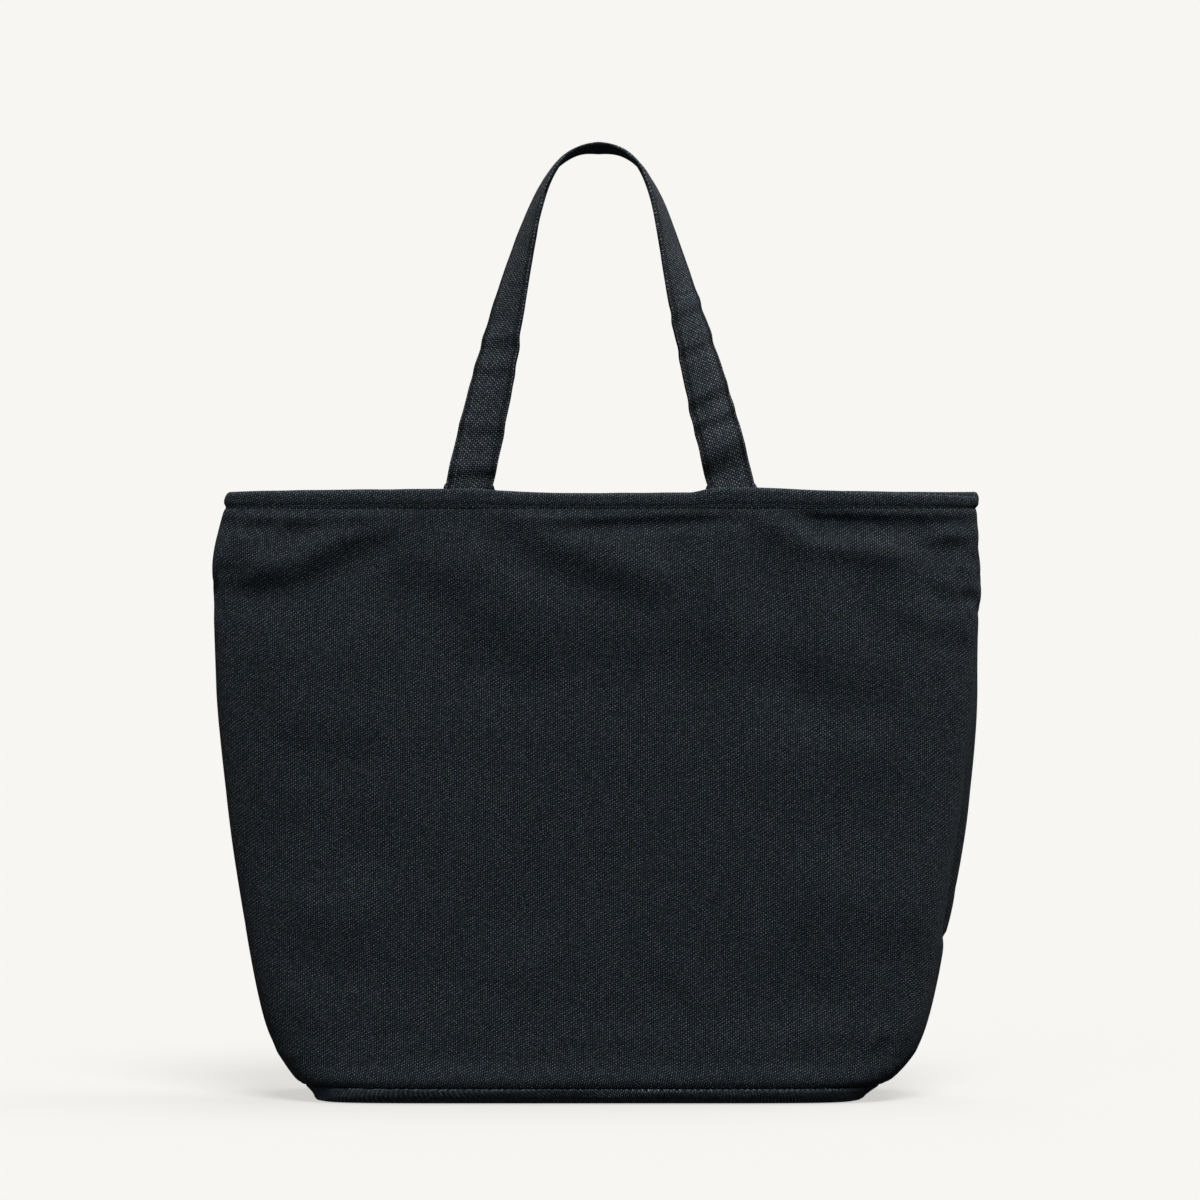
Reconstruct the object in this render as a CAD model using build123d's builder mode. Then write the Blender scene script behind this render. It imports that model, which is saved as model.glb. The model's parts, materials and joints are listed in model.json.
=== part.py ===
"""A canvas tote bag: two shaped panels on a boxed base, a turned top hem and two sewn strap handles.

Millimetres, +Z up, front of the bag towards -Y. The origin is the middle of the base, on the surface it rests on.
Panels, hems and bindings are thin closed solids, so the inside of the bag is open from the mouth to the base.
"""

import os
from itertools import pairwise, product
from math import atan2, copysign, cos, degrees, hypot, pi, sin

from build123d import *

# ---- driving dimensions --------------------------------------------------
canvas = 2.0  # panel cloth
mouth_z = 384.5  # top edge of the hem
hem_height = 12.0
hem_thickness = 4.4  # three layers of canvas, turned in and pressed
seam_z = 10.0  # the seam that joins the panels to the base
body_gap = 0.3  # between pieces of two bodies that meet
seam_gap = 0.3  # half the gap along each side seam

# Outline of the bag at each height: (height, half width, half depth, squareness).
# A squareness of 2 is an ellipse, as at the mouth; larger values are boxier, as at the base.
outline = [
    (seam_z, 179.0, 60.0, 5.0),
    (32.0, 199.0, 56.0, 4.6),
    (62.0, 209.5, 52.5, 4.2),
    (122.0, 220.5, 48.5, 3.6),
    (190.0, 231.0, 45.5, 3.0),
    (260.0, 237.5, 42.0, 2.6),
    (322.0, 239.5, 37.5, 2.3),
    (mouth_z - hem_height, 236.0, 31.5, 2.1),
]
mouth = (236.0, 30.0, 2.1)  # half width, half depth and squareness of the hem
base_outline = [(0.0, 166.0, 52.0, 5.0), (4.0, 174.0, 57.0, 5.0), (seam_z - body_gap, 178.8, 59.8, 5.0)]

binding_width = 9.0  # folded tape over the raw edges of the seams
binding_thickness = 2.8
binding_clearance = 2.2
opening_lift = 8.6  # how far the front panel's side edges rise as the mouth opens
binding_row_inset = 2.5

strap_width = 29.5
strap_thickness = 3.0  # canvas strip folded to four layers
strap_spacing = 163.0  # between the middles of the two legs, at the hem
strap_rise = 212.0  # crown of the handle above the hem
strap_y = 21.7  # middle of the strap's thickness where it leaves the hem
strap_start = 1.0  # the free strap starts this far above the hem
crown_share = 0.88  # each leg has turned flat side up after this share of its length
hinge_y = 26.8  # the line each handle folds over, in the hem's thickness at the straps
hang_angle = 170.0  # degrees from upright down to hanging on the back

thread = 0.8
thread_proud = 0.4
touch = 0.02  # clearance under a row of thread
stitch_gap = 0.15  # between stitches along a handle, as a share of their spacing
strap_touch = 0.06  # clearance under the stitches of a handle, which turns as it rises
strap_row_inset = 2.6  # rows of stitches from the edges of the strap
hem_row_z = mouth_z - hem_height + 1.0

FRONT, BACK = -1, 1
LEFT, RIGHT = -1, 1
CURVE_STEPS = 16  # spline intervals on a half outline
STRAP_STEPS = 30  # flat lengths along a handle


# ---- shared geometry -----------------------------------------------------
def half_outline(half_width, half_depth, squareness, facing):
    """Points from the right side seam round the front or back to the left side seam."""
    points = []
    for step in range(CURVE_STEPS + 1):
        angle = pi * step / CURVE_STEPS
        x = copysign(abs(cos(angle)) ** (2 / squareness), cos(angle)) * half_width
        y = sin(angle) ** (2 / squareness) * half_depth if 0 < step < CURVE_STEPS else 0.0
        points.append((x, facing * (y + seam_gap)))
    return points


def wall_section(height, size, outer_inset, inner_inset, facing):
    """The thin C-shaped section of a wall that covers the front or the back half."""
    half_width, half_depth, squareness = size
    outer = half_outline(half_width - outer_inset, half_depth - outer_inset, squareness, facing)
    inner = half_outline(half_width - inner_inset, half_depth - inner_inset, squareness, facing)
    with BuildSketch(Plane.XY.offset(height)) as section:
        with BuildLine():
            Spline(*outer)
            Line(outer[-1], inner[-1])
            Spline(*inner)
            Line(inner[0], outer[0])
        make_face()
    return section.sketch


def full_section(height, half_width, half_depth, squareness):
    """The whole closed outline at one height."""
    front = half_outline(half_width, half_depth, squareness, FRONT)
    back = half_outline(half_width, half_depth, squareness, BACK)
    with BuildSketch(Plane.XY.offset(height)) as section:
        with BuildLine():
            Spline(*front)
            Line(front[-1], back[-1])
            Spline(*back)
            Line(back[0], front[0])
        make_face()
    return section.sketch


def finish(builder, label):
    builder.part.label = label
    export_step(builder.part, f"parts/{label}.step")


# ---- bag body ------------------------------------------------------------
def make_panel(facing, label):
    """One half of the body: the face and half of each side, down to the base seam."""
    sections = [wall_section(height, size, 0, canvas, facing) for height, *size in outline]
    with BuildPart() as panel:
        loft(sections)
    finish(panel, label)


def make_hem(facing, label):
    """The top edge of a panel, turned in twice."""
    section = wall_section(mouth_z - hem_height, mouth, 0, hem_thickness, facing)
    with BuildPart() as hem:
        extrude(section, amount=hem_height, dir=(0, 0, 1))
    finish(hem, label)


def make_hem_thread(facing, label):
    """The row of stitches that holds the hem down, on the outside."""
    section = wall_section(hem_row_z, mouth, -thread_proud, -touch, facing)
    with BuildPart() as row:
        extrude(section, amount=thread, dir=(0, 0, 1))
    finish(row, label)


def make_base():
    """The bottom panel: flat where it rests, curving up to its seam like a shallow tray."""
    outer = [full_section(*level) for level in base_outline]
    floor_size, *_, rim_size = base_outline
    inner = []
    for height, (_, half_width, half_depth, squareness) in ((canvas, floor_size), (seam_z, rim_size)):
        inner.append(full_section(height, half_width - canvas, half_depth - canvas, squareness))
    with BuildPart() as base:
        loft(outer)
        loft(inner, mode=Mode.SUBTRACT)
    finish(base, "base_panel")


def seam_line(inset):
    """The line of a side seam on the XZ plane, moved in from the outside of the bag, and up by
    opening_lift so that it clears the front panel as that tips outwards."""
    return [(half_width - inset, height + opening_lift) for height, half_width, _, _ in outline]


def make_seam_strip(side, inset, width, ends, face_y, thickness, direction):
    """A strip along a side seam between two heights, as thick as asked and standing on Y = face_y."""
    outer = [(side * x, z) for x, z in seam_line(inset)]
    inner = [(side * x, z) for x, z in seam_line(inset + width)]
    with BuildPart() as strip:
        with BuildSketch(Plane.XZ.offset(-face_y)):
            with BuildLine():
                Spline(*outer)
                Line(outer[-1], inner[-1])
                Spline(*inner)
                Line(inner[0], outer[0])
            make_face()
            with Locations((outer[0][0], sum(ends) / 2)):
                Rectangle(4 * outline[-1][1], ends[1] - ends[0], mode=Mode.INTERSECT)
        extrude(amount=thickness, dir=(0, direction, 0))
    return strip.part


def make_side_binding(side, label):
    """Folded tape over the raw edges inside a side seam, from the base to the hem."""
    low = seam_z + opening_lift + 1.0
    high = mouth_z - hem_height - 1.0
    half = binding_thickness / 2
    edge = canvas + binding_clearance
    with BuildPart() as binding:
        add(make_seam_strip(side, edge, binding_width, (low, high), -half, binding_thickness, BACK))
    finish(binding, f"{label}_side_binding")

    row = edge + binding_width - binding_row_inset
    ends = (low + binding_row_inset, high - binding_row_inset)
    with BuildPart() as rows:
        for face in (FRONT, BACK):
            add(make_seam_strip(side, row, thread, ends, face * (half + touch), thread_proud, face))
    finish(rows, f"{label}_side_thread")


def make_flat_ring(low, inset, width, thickness, label):
    """A flat ring that follows the base seam, its outer edge moved in by inset."""
    _, half_width, half_depth, squareness = outline[0]
    outer = full_section(low, half_width - inset, half_depth - inset, squareness)
    inset += width
    inner = full_section(low, half_width - inset, half_depth - inset, squareness)
    with BuildPart() as ring:
        extrude(outer, amount=thickness, dir=(0, 0, 1))
        extrude(inner, amount=thickness, dir=(0, 0, 1), mode=Mode.SUBTRACT)
    finish(ring, label)


def make_base_binding():
    """Folded tape over the raw edges of the base seam, a flat ring just above the base."""
    low = seam_z + touch
    edge = canvas + binding_clearance
    make_flat_ring(low, edge, binding_width, binding_thickness, "base_seam_binding")
    top = low + binding_thickness + touch
    row = edge + binding_width - binding_row_inset
    make_flat_ring(top, row, thread, thread_proud, "base_seam_thread")


# ---- handles -------------------------------------------------------------
def make_strap_end(side, facing, label):
    """The end of a strap, sewn flat inside the hem."""
    with BuildPart() as end:
        with BuildSketch(Plane.XY.offset(mouth_z - hem_height + 0.5)):
            with Locations((side * strap_spacing / 2, facing * strap_y)):
                Rectangle(strap_width, strap_thickness)
        extrude(amount=hem_height - 0.6, dir=(0, 0, 1))
    finish(end, label)


def make_strap_end_thread(facing, label):
    """The box of stitches on each sewn strap end, with its cross, on the inside."""
    box_width = strap_width - 2 * strap_row_inset
    box_height = hem_height - 3.6
    slope = degrees(atan2(box_height, box_width))
    diagonal = hypot(box_width, box_height) - 2 * thread
    face_y = facing * (strap_y - strap_thickness / 2 - touch)
    with BuildPart() as boxes:
        for side in (LEFT, RIGHT):
            middle = (side * strap_spacing / 2, mouth_z - hem_height / 2)
            with BuildSketch(Plane.XZ.offset(-face_y)):
                with Locations(middle):
                    Rectangle(box_width, box_height)
                    Rectangle(box_width - 2 * thread, box_height - 2 * thread, mode=Mode.SUBTRACT)
                for turn in (slope, -slope):
                    with Locations(Location((*middle, 0), (0, 0, turn))):
                        Rectangle(diagonal, thread)
            extrude(amount=thread_proud, dir=(0, -facing, 0))
    finish(boxes, label)


def handle_line():
    """The middle line of a handle on the XZ plane: two leaning legs and a round crown."""
    foot = strap_spacing / 2
    crown_z = mouth_z + strap_rise
    right = [(foot, mouth_z + strap_start), (57.5, mouth_z + 105), (34.0, mouth_z + 186)]
    left = [(-x, z) for x, z in right]
    with BuildLine(Plane.XZ, mode=Mode.PRIVATE) as line:
        Spline(*left, (0, crown_z), *reversed(right), tangents=((0.22, 1), (0.22, -1)))
    return line.line


def handle_planes(facing, flat_share):
    """Section planes along an upright handle. The strap is flat to the bag at its feet and turns a
    quarter at the crown, with its outer face upwards. flat_share of each half stays untwisted."""
    line = handle_line()
    planes = []
    for step in range(STRAP_STEPS + 1):
        share = step / STRAP_STEPS
        tangent = line % share
        up_share = 1 - abs(1 - 2 * share)
        twist = pi / 2 * min(1.0, max(0.0, up_share - flat_share) / (crown_share - flat_share))
        outward = Vector(-tangent.Z, 0, tangent.X)
        facing_out = Vector(0, facing, 0)
        across = outward * -cos(twist) + facing_out * sin(twist)
        origin = line @ share + Vector(0, facing * strap_y, 0)
        if step in (0, STRAP_STEPS):
            tangent = Vector(0, 0, tangent.Z).normalized()
            across = Vector(copysign(1, across.X), 0, 0)
        planes.append(Plane(origin=origin, x_dir=across, z_dir=tangent))
    return planes


def make_handle(planes, label):
    """A free strap from hem to hem, in flat lengths, and its rows of stitches: one stitch to each
    length, near both edges of both faces."""
    with BuildPart() as strap:
        for plane in planes:
            with BuildSketch(plane):
                Rectangle(strap_width, strap_thickness)
        loft(ruled=True)
    finish(strap, label)

    row_x = strap_width / 2 - strap_row_inset
    row_y = strap_thickness / 2 + strap_touch + thread_proud / 2
    corners = ((row_x, row_y), (row_x, -row_y), (-row_x, row_y), (-row_x, -row_y))
    lengths = []
    with BuildPart() as rows:
        for (x, y), (near, far) in product(corners, pairwise(planes)):
            start = near.from_local_coords((x, y, 0))
            line = far.from_local_coords((x, y, 0)) - start
            across = near.x_dir + far.x_dir
            with BuildSketch(Plane(start + line * stitch_gap / 2, x_dir=across, z_dir=line)):
                Rectangle(thread, thread_proud)
            lengths.append(line.length)
        extrude(amount=min(lengths) * (1 - stitch_gap))
    finish(rows, f"{label}_thread")


def hung_down(planes, facing):
    """The planes of an upright handle, swung over the hem until it hangs down outside."""
    hinge = Location((0, facing * hinge_y, mouth_z))
    swing = hinge * Location((0, 0, 0), (-facing * hang_angle, 0, 0)) * hinge.inverse()
    return [Plane(swing * plane.location) for plane in planes]


# ---- build ---------------------------------------------------------------
os.makedirs("parts", exist_ok=True)

make_base()
make_base_binding()
for side, side_name in ((LEFT, "left"), (RIGHT, "right")):
    make_side_binding(side, side_name)

for facing, face_name in ((FRONT, "front"), (BACK, "back")):
    make_panel(facing, f"{face_name}_panel")
    make_hem(facing, f"{face_name}_hem")
    make_hem_thread(facing, f"{face_name}_hem_thread")
    for side, side_name in ((LEFT, "left"), (RIGHT, "right")):
        make_strap_end(side, facing, f"{face_name}_strap_end_{side_name}")
    make_strap_end_thread(facing, f"{face_name}_strap_end_thread")

make_handle(handle_planes(FRONT, flat_share=0.0), "front_handle")
make_handle(hung_down(handle_planes(BACK, flat_share=0.4), BACK), "back_handle")
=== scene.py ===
"""Canvas tote bag: the cloth, seams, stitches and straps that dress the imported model."""

import json
import math

import bmesh
import bpy
import numpy as np
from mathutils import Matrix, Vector


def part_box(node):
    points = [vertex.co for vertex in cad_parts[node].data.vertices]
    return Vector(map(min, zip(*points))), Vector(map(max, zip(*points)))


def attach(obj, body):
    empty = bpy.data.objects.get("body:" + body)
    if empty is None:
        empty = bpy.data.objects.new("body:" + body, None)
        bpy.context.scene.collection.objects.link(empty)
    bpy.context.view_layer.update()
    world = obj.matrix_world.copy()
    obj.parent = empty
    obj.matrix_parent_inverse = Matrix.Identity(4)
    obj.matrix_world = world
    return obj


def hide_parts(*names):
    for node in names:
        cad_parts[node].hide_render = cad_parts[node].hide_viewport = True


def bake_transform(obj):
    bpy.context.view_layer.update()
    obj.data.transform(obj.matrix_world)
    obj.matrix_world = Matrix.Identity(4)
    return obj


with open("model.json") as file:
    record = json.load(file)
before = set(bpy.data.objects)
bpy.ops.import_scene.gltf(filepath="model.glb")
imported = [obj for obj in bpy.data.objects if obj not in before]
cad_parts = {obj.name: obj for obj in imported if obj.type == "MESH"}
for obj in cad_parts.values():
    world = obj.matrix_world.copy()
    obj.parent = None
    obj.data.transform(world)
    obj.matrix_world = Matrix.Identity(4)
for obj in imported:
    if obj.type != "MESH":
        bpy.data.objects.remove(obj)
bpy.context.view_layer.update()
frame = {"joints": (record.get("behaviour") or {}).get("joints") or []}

# ---- sizes, in metres ----------------------------------------------------
MM = 0.001
CANVAS = 1.3 * MM  # thickness of the cloth
FRONT, BACK = -1, 1
LEFT, RIGHT = -1, 1

HEM_LOW, HEM_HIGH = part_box("front_hem")
SEAM_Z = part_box("front_panel")[0].z  # where the panels meet the base
DROP = 1.3 * MM  # how far the cloth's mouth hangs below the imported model's
HEM_Z = HEM_LOW.z - DROP
MOUTH_Z = HEM_HIGH.z - DROP

# The body at each height: (height, half width, half depth, squareness) in millimetres. A squareness of
# 2 is an ellipse, as at the mouth; larger values are boxier, as at the base.
OUTLINE = [
    (10, 184.5, 57.5, 5.0),
    (32, 202.5, 56.8, 4.6),
    (62, 212.6, 54.8, 4.2),
    (122, 224.6, 51.0, 3.6),
    (190, 236.0, 47.0, 3.0),
    (260, 243.4, 42.8, 2.6),
    (322, 244.6, 38.0, 2.3),
    (352, 242.4, 34.8, 2.2),
    (372, 239.3, 31.5, 2.1),
]
MOUTH_OUTLINE = [(371, 237.3, 31.5, 2.1), (383, 237.1, 30.3, 2.1)]
BASE_OUTLINE = [(0, 169.5, 50, 7), (1, 171.5, 51, 7), (4, 174, 54.6, 6), (9.7, 181.5, 57.2, 5)]
# How far the outline leans sideways at each height, in millimetres: (height, shift to the right).
LEAN = [(0, -6.3), (10, -3.2), (26, -1.2), (60, -1.0), (200, -0.7), (340, -0.9), (362, 0.7), (384, 2.8)]

STRAP_Y = 22.6 * MM  # middle of a strap where it leaves the hem
HINGE = next(j for j in frame["joints"] if j["name"] == "front_handle_swing")["pos_m"]
HANG_ANGLE = math.radians(170)  # from upright down to hanging on the back

STITCH = 2.9 * MM  # length of a stitch
STITCH_PITCH = 3.9 * MM
THREAD = 0.75 * MM  # thickness of the thread

COLUMNS, ROWS = 260, 150  # of a panel's mesh
SIM_COLUMNS, SIM_ROWS = 74, 58  # of a panel in the cloth simulation
SIM_FRAMES = 30
MOST_SAG = 6 * MM  # the furthest the simulation may move a point; a share of that is kept


# ---- curves and grids ----------------------------------------------------
def smooth(x, points):
    """A smooth curve through (place, value) points, as numpy, with no overshoot between them."""
    xs, ys = np.array(points, float).T
    step = np.diff(xs)
    slope = np.diff(ys) / step
    tangent = np.zeros_like(ys)
    same_way = slope[:-1] * slope[1:] > 0
    middle = 2 * slope[:-1] * slope[1:] / np.where(same_way, slope[:-1] + slope[1:], 1)
    tangent[1:-1] = np.where(same_way, middle, 0)
    tangent[0], tangent[-1] = slope[0], slope[-1]
    x = np.clip(x, xs[0], xs[-1])
    k = np.clip(np.searchsorted(xs, x, side="right") - 1, 0, len(step) - 1)
    t = (x - xs[k]) / step[k]
    h00, h10 = 2 * t**3 - 3 * t**2 + 1, t**3 - 2 * t**2 + t
    h01, h11 = -2 * t**3 + 3 * t**2, t**3 - t**2
    return h00 * ys[k] + h10 * step[k] * tangent[k] + h01 * ys[k + 1] + h11 * step[k] * tangent[k + 1]


def even(points, count):
    """count points at equal distances along a line of many points."""
    points = np.asarray(points, float)
    along = np.concatenate([[0], np.cumsum(np.linalg.norm(np.diff(points, axis=0), axis=1))])
    want = np.linspace(0, along[-1], count)
    return np.stack([np.interp(want, along, axis) for axis in points.T], 1)


def turned(vectors, angle):
    """Vectors turned about the X axis."""
    x, y, z = np.moveaxis(np.asarray(vectors, float), -1, 0)
    c, s = np.cos(angle), np.sin(angle)
    return np.stack([x, y * c - z * s, y * s + z * c], -1)


def half_outline(half_width, half_depth, squareness, facing, count):
    """Points from the left side seam round the front or back to the right one, evenly spaced."""
    angle = np.linspace(math.pi, 0, 721)
    x = np.sign(np.cos(angle)) * np.abs(np.cos(angle)) ** (2 / squareness) * half_width
    y = np.abs(np.sin(angle)) ** (2 / squareness) * half_depth * facing
    return even(np.stack([x, y], 1), count)


def section_at(z, table=OUTLINE):
    """Half width, half depth and squareness of the body at one height, in metres."""
    z_mm = z / MM
    width, depth, squareness = (smooth(z_mm, [(row[0], row[k]) for row in table]) for k in (1, 2, 3))
    return width * MM, depth * MM, squareness


def lean(z):
    return smooth(np.asarray(z) / MM, LEAN) * MM


def panel_grid(facing, rows, columns):
    """The outside of one half of the body before it sags: rows from the base seam to the hem."""
    grid = np.zeros((rows, columns, 3))
    for j, z in enumerate(np.linspace(SEAM_Z, HEM_Z, rows)):
        grid[j, :, :2] = half_outline(*section_at(z), facing, columns)
        grid[j, :, 0] += lean(z)
        grid[j, :, 2] = z
    return grid


def grid_normals(grid):
    """Unit normals of a grid of points, turned away from the middle of the bag."""
    along = np.gradient(grid, axis=1)
    up = np.gradient(grid, axis=0)
    normal = np.cross(along, up)
    normal /= np.linalg.norm(normal, axis=2, keepdims=True) + 1e-12
    middle = normal[normal.shape[0] // 2, normal.shape[1] // 2]
    centre = grid[grid.shape[0] // 2, grid.shape[1] // 2]
    if np.dot(middle[:2], centre[:2]) < 0:
        normal = -normal
    return normal


def crowded(count, crowding):
    """Places from 0 to 1 that lie closer together towards both ends."""
    t = np.linspace(0, 1, count)
    return t - crowding * np.sin(2 * math.pi * t) / (2 * math.pi)


def resample(grid, row_places, column_places):
    """The same surface at other rows and columns, by smooth curves. Places run from 0 to 1."""

    def along_axis(values, places, axis):
        values = np.moveaxis(values, axis, 0)
        n = len(values)
        t = places * (n - 1)
        k = np.clip(t.astype(int), 0, n - 2)
        f = (t - k).reshape((-1,) + (1,) * (values.ndim - 1))
        before, after = values[np.maximum(k - 1, 0)], values[np.minimum(k + 2, n - 1)]
        a, b = values[k], values[k + 1]
        square = 2 * before - 5 * a + 4 * b - after
        cubic = 3 * (a - b) + after - before
        return np.moveaxis(a + 0.5 * f * (b - before + f * (square + f * cubic)), 0, axis)

    return along_axis(along_axis(grid, row_places, 0), column_places, 1)


def noise_field(shape, cells, seed):
    """Smooth random values from -1 to 1 over a grid, with about cells = (rows, columns) patches."""
    values = np.random.default_rng(seed).uniform(-1, 1, (cells[0] + 3, cells[1] + 3, 1))
    return resample(values, *(np.linspace(0, 1, n) for n in shape))[..., 0]


def uv_grid(first, second):
    """Every pair of a value of the first and one of the second, as a grid."""
    return np.stack(np.meshgrid(first, second, indexing="ij"), 2)


def curve(points, count):
    """count evenly spaced points along a smooth curve that passes near a few, from the first to the last."""
    line = np.repeat(np.array(points, float)[:, None], 2, 1)
    line = resample(line, np.linspace(0, 1, 500), np.linspace(0, 1, 2))[:, 0]
    for _ in range(150):
        line[1:-1] = (line[:-2] + 2 * line[1:-1] + line[2:]) / 4
    return even(line, count)


# ---- meshes --------------------------------------------------------------
def make_object(name, points, faces, uv=None, wear_and_shade=None):
    """A mesh object. uv is each point's place on the flat cloth, in metres, which the weave follows.
    wear is read by the materials: up to 1 where cloth is worn pale, and negative where painted shade
    darkens it; on threads it is painted shade, 1 in the needle holes."""
    mesh = bpy.data.meshes.new(name)
    mesh.from_pydata([tuple(p) for p in np.asarray(points).reshape(-1, 3)], [], [tuple(f) for f in faces])
    if uv is not None:
        layer = mesh.uv_layers.new(name="cloth")
        corner = np.zeros(len(mesh.loops), dtype=np.int64)
        mesh.loops.foreach_get("vertex_index", corner)
        layer.data.foreach_set("uv", np.asarray(uv, float).reshape(-1, 2)[corner].ravel())
    values = np.zeros(len(mesh.vertices)) if wear_and_shade is None else np.asarray(wear_and_shade, float).ravel()
    mesh.attributes.new("wear_and_shade", "FLOAT", "POINT").data.foreach_set("value", values)
    obj = bpy.data.objects.new(name, mesh)
    bpy.context.scene.collection.objects.link(obj)
    tidy = bmesh.new()
    tidy.from_mesh(mesh)
    bmesh.ops.recalc_face_normals(tidy, faces=tidy.faces)
    tidy.to_mesh(mesh)
    tidy.free()
    for face in mesh.polygons:
        face.use_smooth = True
    return obj


def grid_quads(index):
    """Quads between the rows and columns of an array of point numbers."""
    return np.stack([index[:-1, :-1], index[:-1, 1:], index[1:, 1:], index[1:, :-1]], -1).reshape(-1, 4)


def thin_solid(name, outer, inner, uv, wear_and_shade=None):
    """A closed sheet of cloth between two grids of points, joined round the rim."""
    rows, columns = outer.shape[:2]
    count = rows * columns
    index = np.arange(count).reshape(rows, columns)
    rim = np.concatenate([index[0, :-1], index[:-1, -1], index[-1, :0:-1], index[:0:-1, 0]])
    after = np.roll(rim, -1)
    edge = np.stack([rim, rim + count, after + count, after], 1)
    faces = np.concatenate([grid_quads(index), grid_quads(index + count)[:, ::-1], edge])
    points = np.concatenate([outer.reshape(-1, 3), inner.reshape(-1, 3)])
    wear_and_shade_amount = None if wear_and_shade is None else np.concatenate([wear_and_shade.ravel(), wear_and_shade.ravel()])
    return make_object(name, points, faces, np.concatenate([uv.reshape(-1, 2)] * 2), wear_and_shade_amount)


def tube_solid(name, rings, uv, wear_and_shade=None, ends="strip"):
    """A closed solid from rings of points. Where ends is strip, each ring goes round a flat strip, with
    one face in its first half and the other in its second, and each end is closed across the strip.
    Where ends is disc, each end is one flat face, and where it is joined, the last ring meets the first."""
    count, around = rings.shape[:2]
    index = np.arange(count * around).reshape(count, around)
    wrapped = np.concatenate([index, index[:, :1]], 1)
    if ends == "joined":
        wrapped = np.concatenate([wrapped, wrapped[:1]])
    faces = [tuple(face) for face in grid_quads(wrapped)]
    if ends == "disc":
        faces += [tuple(index[0]), tuple(index[-1, ::-1])]
    if ends == "strip":
        for end in (index[0], index[-1]):
            for k in range(around // 2 - 1):
                faces.append((end[k], end[k + 1], end[around - 2 - k], end[around - 1 - k]))
    return make_object(name, rings, faces, uv, wear_and_shade)


def stitches(name, lines):
    """Rows of stitches. Each line is (points, normals) along a row: a thread dips into the cloth at
    both ends of every stitch and rises over it in the middle. Its wear value is painted shade: 1, and
    dark, in the holes."""
    sides, rings = 6, 5
    fine_steps = 6  # points along each pitch of a row
    points, faces, shaded = [], [], []
    for path, normal in lines:
        length = np.linalg.norm(np.diff(path, axis=0), axis=1).sum()
        count = max(2, int(length / STITCH_PITCH))
        fine = even(path, count * fine_steps + 1)
        lift = even(np.concatenate([path, normal], 1), count * fine_steps + 1)[:, 3:]
        lift /= np.linalg.norm(lift, axis=1, keepdims=True)
        for s in range(0, count * fine_steps, fine_steps):
            a, b, up = fine[s], fine[s + fine_steps], lift[s + fine_steps // 2]
            along = (b - a) / np.linalg.norm(b - a)
            side = np.cross(along, up)
            start = len(points)
            for r in range(rings):
                t = r / (rings - 1)
                reach = (t - 0.5) * STITCH
                rise = math.sin(math.pi * t) * 0.55 * THREAD - 0.25 * THREAD
                radius = THREAD / 2 * (0.55 + 0.45 * math.sin(math.pi * t))
                centre = (a + b) / 2 + along * reach + up * rise
                for k in range(sides):
                    turn = 2 * math.pi * k / sides
                    points.append(centre + radius * (side * math.cos(turn) + 0.8 * up * math.sin(turn)))
                    # Painted shade: 0 over the middle of a stitch, 1 in its holes.
                    shaded.append(abs(2 * t - 1))
            for r in range(rings - 1):
                for k in range(sides):
                    p, q = start + r * sides + k, start + r * sides + (k + 1) % sides
                    faces.append((p, q, q + sides, p + sides))
            faces.append(tuple(range(start, start + sides)))
            faces.append(tuple(start + (rings - 1) * sides + k for k in reversed(range(sides))))
    return make_object(name, points, faces, np.zeros((len(points), 2)), shaded)


# ---- cloth simulation ----------------------------------------------------
def sagged(front, back):
    """Both halves of the body after they have settled as cloth, hung from the hem and sewn to the base.
    Only a share of the move is kept, which is least near the base."""
    rows, columns = front.shape[:2]
    ring = np.concatenate([front, back[:, -2:0:-1]], 1)
    around = ring.shape[1]
    index = np.arange(rows * around).reshape(rows, around)
    faces = grid_quads(np.concatenate([index, index[:, :1]], 1))
    obj = make_object("settling_cloth", ring, faces)
    height = np.linspace(0, 1, rows)[:, None]
    side = np.abs(np.concatenate([np.linspace(-1, 1, columns), np.linspace(1, -1, columns)[1:-1]]))[None, :]
    # How firmly each point is held: fully at the base and the hem, and partly along the side seams.
    hold = np.maximum(np.clip(1 - height * 14, 0, 1), np.clip(1 - (1 - height) * 22, 0, 1))
    hold = np.maximum(hold, 0.25 * (side > 0.97))
    hold = np.maximum(hold, 0.04)
    pins = obj.vertex_groups.new(name="pins")
    for number, weight in enumerate(np.broadcast_to(hold, (rows, around)).ravel()):
        pins.add([number], float(weight), "REPLACE")
    cloth = obj.modifiers.new("cloth", "CLOTH")
    cloth.settings.quality = 6
    cloth.settings.mass = 0.02
    cloth.settings.tension_stiffness = 25
    cloth.settings.compression_stiffness = 25
    cloth.settings.shear_stiffness = 8
    cloth.settings.bending_stiffness = 2.5
    cloth.settings.air_damping = 3
    cloth.settings.vertex_group_mass = "pins"
    cloth.settings.pin_stiffness = 1.0
    cloth.settings.shrink_min = -0.012
    cloth.settings.use_pressure = True
    cloth.settings.uniform_pressure_force = 0.6
    cloth.collision_settings.use_collision = False
    scene = bpy.context.scene
    for step in range(1, SIM_FRAMES + 1):
        scene.frame_set(step)
    settled = obj.evaluated_get(bpy.context.evaluated_depsgraph_get()).to_mesh()
    points = np.zeros(rows * around * 3)
    settled.vertices.foreach_get("co", points)
    scene.frame_set(1)
    bpy.data.objects.remove(obj)
    points = points.reshape(rows, around, 3)
    moved = points - ring
    far = np.linalg.norm(moved, axis=2, keepdims=True)
    rise = np.clip((height[..., None] - 0.1) / 0.7, 0, 1)
    kept = 0.1 + 0.6 * rise * rise * (3 - 2 * rise)
    points = ring + moved * kept * np.tanh(far / MOST_SAG) * MOST_SAG / np.maximum(far, 1e-9)
    return points[:, :columns], np.concatenate([points[:, :1], points[:, :columns - 2:-1]], 1)


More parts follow.
